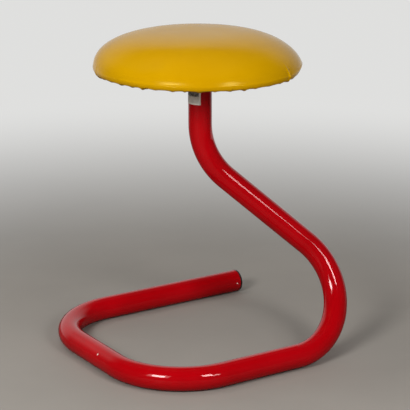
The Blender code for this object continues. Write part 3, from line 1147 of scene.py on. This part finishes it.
    def build_staples(self) -> Object:
        """Drive a staple through the hem at each pleat.

        Returns:
            The staples, as one piece.
        """
        work = bmesh.new()
        chance = random.Random(self.seed + 1)
        out = self.board_radius - self.staple_inset
        width, thickness = self.staple_wire
        level = self.hem_level - thickness / 2 - CLEARANCE
        shape = Matrix.Diagonal((width, self.staple_crown, thickness, 1.0))
        for swing in self.staples:
            spot = self.axis + Vector((out * math.cos(swing), out * math.sin(swing), level))
            skew = swing + chance.uniform(-1, 1) * self.staple_skew
            lay = Matrix.Translation(spot) @ Matrix.Rotation(skew, 4, "Z") @ shape
            bmesh.ops.create_cube(work, size=1.0, matrix=lay)
        bmesh.ops.bevel(
            work,
            geom=work.edges[:],
            offset=thickness * self.staple_round,
            affect="EDGES",
            segments=2,
            profile=0.5,
            material=-1,
        )
        return finished_piece("hem_staples", work, self.steel)

    def build(self) -> None:
        """Build the cover, the foam inside it and the staples that hold it."""
        self.build_cover()
        self.build_foam()
        self.build_staples()


@dataclass
class PostPlate:
    """Steel plate welded on the post, with a rippled bead, drilled for the seat's bolts."""

    enamel: Material
    thickness: float = 0.005
    edge_round: float = 0.0008
    bead_leg: float = 0.0052
    bead_ripples: int = 46
    ripple_depth: float = 0.0005
    ripple_sink: float = 0.8
    ripple_wander: float = 2.0
    wander_pitch: float = 300.0
    bolt_hole: float = 0.0036
    hole_sides: int = 48
    sides: int = 184
    round_facets: int = 4

    def outline(self, radius: float, top: float) -> list[Vector]:
        """Half section of the plate with its bead.

        Args:
            radius: The plate's radius.
            top: Level of its upper face.

        Returns:
            The points, with the plate's axis at X = 0.
        """
        bottom = top - self.thickness
        edge = radius - self.edge_round
        corner = (self.edge_round, self.edge_round)
        inside = tube_radius() + CLEARANCE
        bead = (self.bead_leg, self.bead_leg)
        return [
            point(0.0, top),
            *arc(point(edge, top - self.edge_round), corner, 90, 0, self.round_facets),
            *arc(point(edge, bottom + self.edge_round), corner, 0, -90, self.round_facets),
            *arc(point(inside, bottom), bead, 0, -90, 2 * self.round_facets),
            point(inside, bottom),
            point(0.0, bottom),
        ]

    def ripple(self, work: BMesh, axis: Vector, bottom: float) -> None:
        """Give the bead the ripples that a weld leaves.

        Args:
            work: The plate's mesh.
            axis: A point on its axis.
            bottom: Level of its lower face.
        """
        inside = tube_radius() + 2 * CLEARANCE
        for vertex in work.verts:
            flat = level_way(axis, vertex.co)
            if vertex.co.z > bottom - CLEARANCE or flat.length < inside:
                continue
            wander = self.ripple_wander * noise.noise(flat * self.wander_pitch)
            wave = 0.5 + 0.5 * math.sin(self.bead_ripples * math.atan2(flat.y, flat.x) + wander)
            vertex.co += (flat.normalized() - UP) * (self.ripple_depth * (wave - self.ripple_sink))

    def drill(self, plate: Object, top: float) -> None:
        """Cut the bolts' holes through the plate.

        Args:
            plate: The plate.
            top: Level of its upper face.
        """
        cutters = []
        for name in sorted(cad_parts):
            if not name.startswith("seat_bolt"):
                continue
            middle = axis_of(name) + UP * (top - self.thickness / 2)
            work = bmesh.new()
            bmesh.ops.create_cone(
                work,
                cap_ends=True,
                segments=self.hole_sides,
                radius1=self.bolt_hole,
                radius2=self.bolt_hole,
                depth=2 * self.thickness,
                matrix=Matrix.Translation(middle),
            )
            cutter = placed("hole", mesh_from("hole", work))
            plate.modifiers.new("hole", "BOOLEAN").object = cutter
            cutters.append(cutter)
        depsgraph = bpy.context.evaluated_depsgraph_get()
        drilled = bpy.data.meshes.new_from_object(plate.evaluated_get(depsgraph))
        plate.modifiers.clear()
        plate.data = drilled
        shade(drilled)
        for cutter in cutters:
            bpy.data.objects.remove(cutter)

    def build(self) -> None:
        """Turn the plate with its bead, ripple the bead and drill the plate."""
        low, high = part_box("seat_plate")
        axis = axis_of("seat_plate")
        work = turn_outline(self.outline((high.x - low.x) / 2, high.z), self.sides, axis)
        self.ripple(work, axis, high.z - self.thickness)
        plate = finished_piece("welded_plate", work, self.enamel)
        self.drill(plate, high.z)
        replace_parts(plate, "seat_plate")


@dataclass
class SeatHardware:
    """Board, bolts, spring washers and tee nuts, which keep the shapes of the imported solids."""

    plywood: Material
    steel: Material

    def build(self) -> None:
        """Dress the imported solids."""
        for name in sorted(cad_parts):
            if name == "seat_board":
                dress_node(name, self.plywood)
            elif name.startswith(("seat_bolt", "spring_washer", "tee_nut")):
                dress_node(name, self.steel)


@dataclass(frozen=True)
class Softbox:
    """A studio lamp, placed by the angles in degrees at which the object sees it, counted from the camera."""

    name: str
    azimuth: float
    elevation: float
    distance: float
    size: Pair
    power: float
    mirrored: bool = True


@dataclass
class Studio:
    """Camera, lamps, surrounding light and floor."""

    camera_place: Triple = (-1.4416, -2.2614, 1.02465)
    camera_yaw: float = math.radians(32.8825)
    camera_pitch: float = 0.28568
    lens: float = 151.16
    sensor: float = 36.0
    shift: Pair = (-0.00122, 0.00122)
    sight: float = 100.0
    target: Triple = (0.0, -0.03, 0.08)
    floor_size: float = 24.0
    floor_colour: Colour = (0.310, 0.284, 0.252)
    floor_shade: Colour = (0.287, 0.263, 0.233)
    # Painted shade: the floor's colour as glossy and transmission rays see it, much darker than its own.
    floor_reflected_shade: Colour = (0.085, 0.077, 0.069)
    floor_roughness: float = 0.75
    floor_fade: Pair = (0.35, 1.8)
    wall_glow: float = 0.64
    wall_swing: float = math.radians(-5)
    wall_edge: Pair = (0.40, 0.80)
    front_glow: float = 0.045
    ceiling_glow: float = 0.10
    ceiling_edge: Pair = (0.48, 0.72)
    backdrop_colour: Colour = (0.74, 0.74, 0.73)
    lamps: tuple[Softbox, ...] = (
        Softbox("left_softbox", -31.0, 31.0, 2.2, (0.98, 0.80), 8.0),
        Softbox("left_core", -31.0, 31.0, 2.19, (0.56, 0.50), 23.5),
        Softbox("right_softbox", 34.0, 33.5, 2.2, (0.44, 0.52), 14.0),
        Softbox("right_strip", 43.7, 26.6, 2.31, (0.46, 0.36), 5.0),
        Softbox("left_window", -100.0, 58.0, 3.0, (1.2, 1.2), 13.5, mirrored=False),
        Softbox("ceiling_panel", 0.0, 89.0, 2.6, (2.4, 2.4), 16.0, mirrored=False),
    )

    @property
    def right(self) -> Vector:
        """The camera's right, along the floor."""
        return Vector((math.cos(self.camera_yaw), -math.sin(self.camera_yaw), 0.0))

    @property
    def ahead(self) -> Vector:
        """The way the camera looks, along the floor."""
        return Vector((math.sin(self.camera_yaw), math.cos(self.camera_yaw), 0.0))

    def place_camera(self) -> None:
        """Put the camera where the photograph was taken from."""
        data = bpy.data.cameras.new("camera")
        data.lens = self.lens
        data.sensor_width = self.sensor
        data.shift_x, data.shift_y = self.shift
        data.clip_end = self.sight
        camera = placed("camera", data)
        look = self.ahead * math.cos(self.camera_pitch) - UP * math.sin(self.camera_pitch)
        camera.location = self.camera_place
        camera.rotation_euler = look.to_track_quat("-Z", "Y").to_euler()
        bpy.context.scene.camera = camera

    def hang_lamps(self) -> None:
        """Hang the softboxes round the object."""
        for lamp in self.lamps:
            data = bpy.data.lights.new(lamp.name, "AREA")
            data.shape = "RECTANGLE"
            data.size, data.size_y = lamp.size
            data.energy = lamp.power
            item = placed(lamp.name, data)
            swing = math.radians(lamp.azimuth)
            rise = math.radians(lamp.elevation)
            level = self.right * math.sin(swing) - self.ahead * math.cos(swing)
            way = level * math.cos(rise) + UP * math.sin(rise)
            item.location = Vector(self.target) + way * lamp.distance
            item.rotation_euler = (-way).to_track_quat("-Z", "Y").to_euler()
            item.visible_camera = False
            item.visible_glossy = lamp.mirrored

    def light_world(self) -> None:
        """Surround the object with a pale wall behind and a dim room in front."""
        world = bpy.data.worlds.new("studio")
        bpy.context.scene.world = world
        world.use_nodes = True
        bench = NodeBench(world.node_tree)
        way = bench.add("TexCoord").outputs["Generated"]
        wall_way = self.ahead * math.cos(self.wall_swing) + self.right * math.sin(self.wall_swing)
        level = bench.vector("MULTIPLY", way, (1.0, 1.0, 0.0)).outputs[0]
        level = bench.vector("NORMALIZE", level).outputs[0]
        behind = bench.vector("DOT_PRODUCT", level, wall_way).outputs["Value"]
        glow = bench.span(behind, *self.wall_edge, self.front_glow, self.wall_glow)
        ceiling = bench.span(bench.height(way), *self.ceiling_edge, 1.0, self.ceiling_glow)
        glow = bench.math("MULTIPLY", glow, ceiling)
        room = bench.add("CombineXYZ", {0: glow, 1: glow, 2: glow}).outputs[0]
        camera_ray = bench.add("LightPath").outputs["Is Camera Ray"]
        colour = bench.mix(camera_ray, room, self.backdrop_colour)
        bench.feed(world.node_tree.nodes["Background"], {"Color": colour})

    def floor_material(self) -> Material:
        """Make the pale floor, which fades into the backdrop, is painted much darker where reflections see
        it, and is clear from below.

        Returns:
            The floor's material.
        """
        bench = SurfaceBench("pale_floor")
        tone = bench.effect(EFFECTS.mottle, Scale=3.0)
        path = bench.add("LightPath").outputs
        mirrored = bench.math("MAXIMUM", path["Is Glossy Ray"], path["Is Transmission Ray"])
        colour = bench.mix(tone, self.floor_shade, self.floor_colour)
        # Painted shade in reflections: glossy and transmission rays see the floor much darker, standing in
        # for its shadow near the object.
        colour = bench.mix(mirrored, colour, self.floor_reflected_shade)
        bench.coat({"Base Color": colour, "Roughness": self.floor_roughness})
        away = bench.vector("LENGTH", bench.place).outputs["Value"]
        behind = bench.vector("DOT_PRODUCT", bench.place, self.ahead).outputs["Value"]
        seen = bench.math("MULTIPLY", path["Is Camera Ray"], bench.span(away, *self.floor_fade))
        mirrored = bench.math("MULTIPLY", mirrored, bench.span(behind, *self.floor_fade))
        fade = bench.math("MAXIMUM", seen, mirrored)
        far = bench.add("Emission", {"Color": paint(self.backdrop_colour)}).outputs[0]
        ground = bench.add("MixShader", {0: fade, 1: bench.shader.outputs[0], 2: far}).outputs[0]
        below = bench.add("NewGeometry").outputs["Backfacing"]
        clear = bench.add("BsdfTransparent").outputs[0]
        shown = bench.add("MixShader", {0: below, 1: ground, 2: clear}).outputs[0]
        bench.feed(bench.tree.nodes["Material Output"], {"Surface": shown})
        return bench.material

    def lay_floor(self) -> None:
        """Lay the pale floor."""
        work = bmesh.new()
        bmesh.ops.create_grid(work, x_segments=1, y_segments=1, size=self.floor_size / 2)
        mesh = mesh_from("floor", work)
        mesh.materials.append(self.floor_material())
        floor = placed("floor", mesh)

    def build(self) -> None:
        """Set up the whole studio."""
        self.place_camera()
        self.hang_lamps()
        self.light_world()
        self.lay_floor()
        bpy.context.scene.view_settings.view_transform = "Standard"


def main() -> None:
    """Set up the studio and build the stool's pieces in order."""
    logging.basicConfig(level=logging.INFO, format="%(message)s")
    Studio().build()
    enamel = RedEnamel().material()
    zinc = ZincPlate().material()
    TubeFrame(enamel, BlankPaper().material()).build()
    FloorPlug(BlackPlastic().material()).build()
    PostPlate(enamel).build()
    SeatPad(YellowVinyl().material(), OpenFoam().material(), zinc).build()
    SeatHardware(Plywood().material(), zinc).build()


if __name__ == "__main__":
    main()
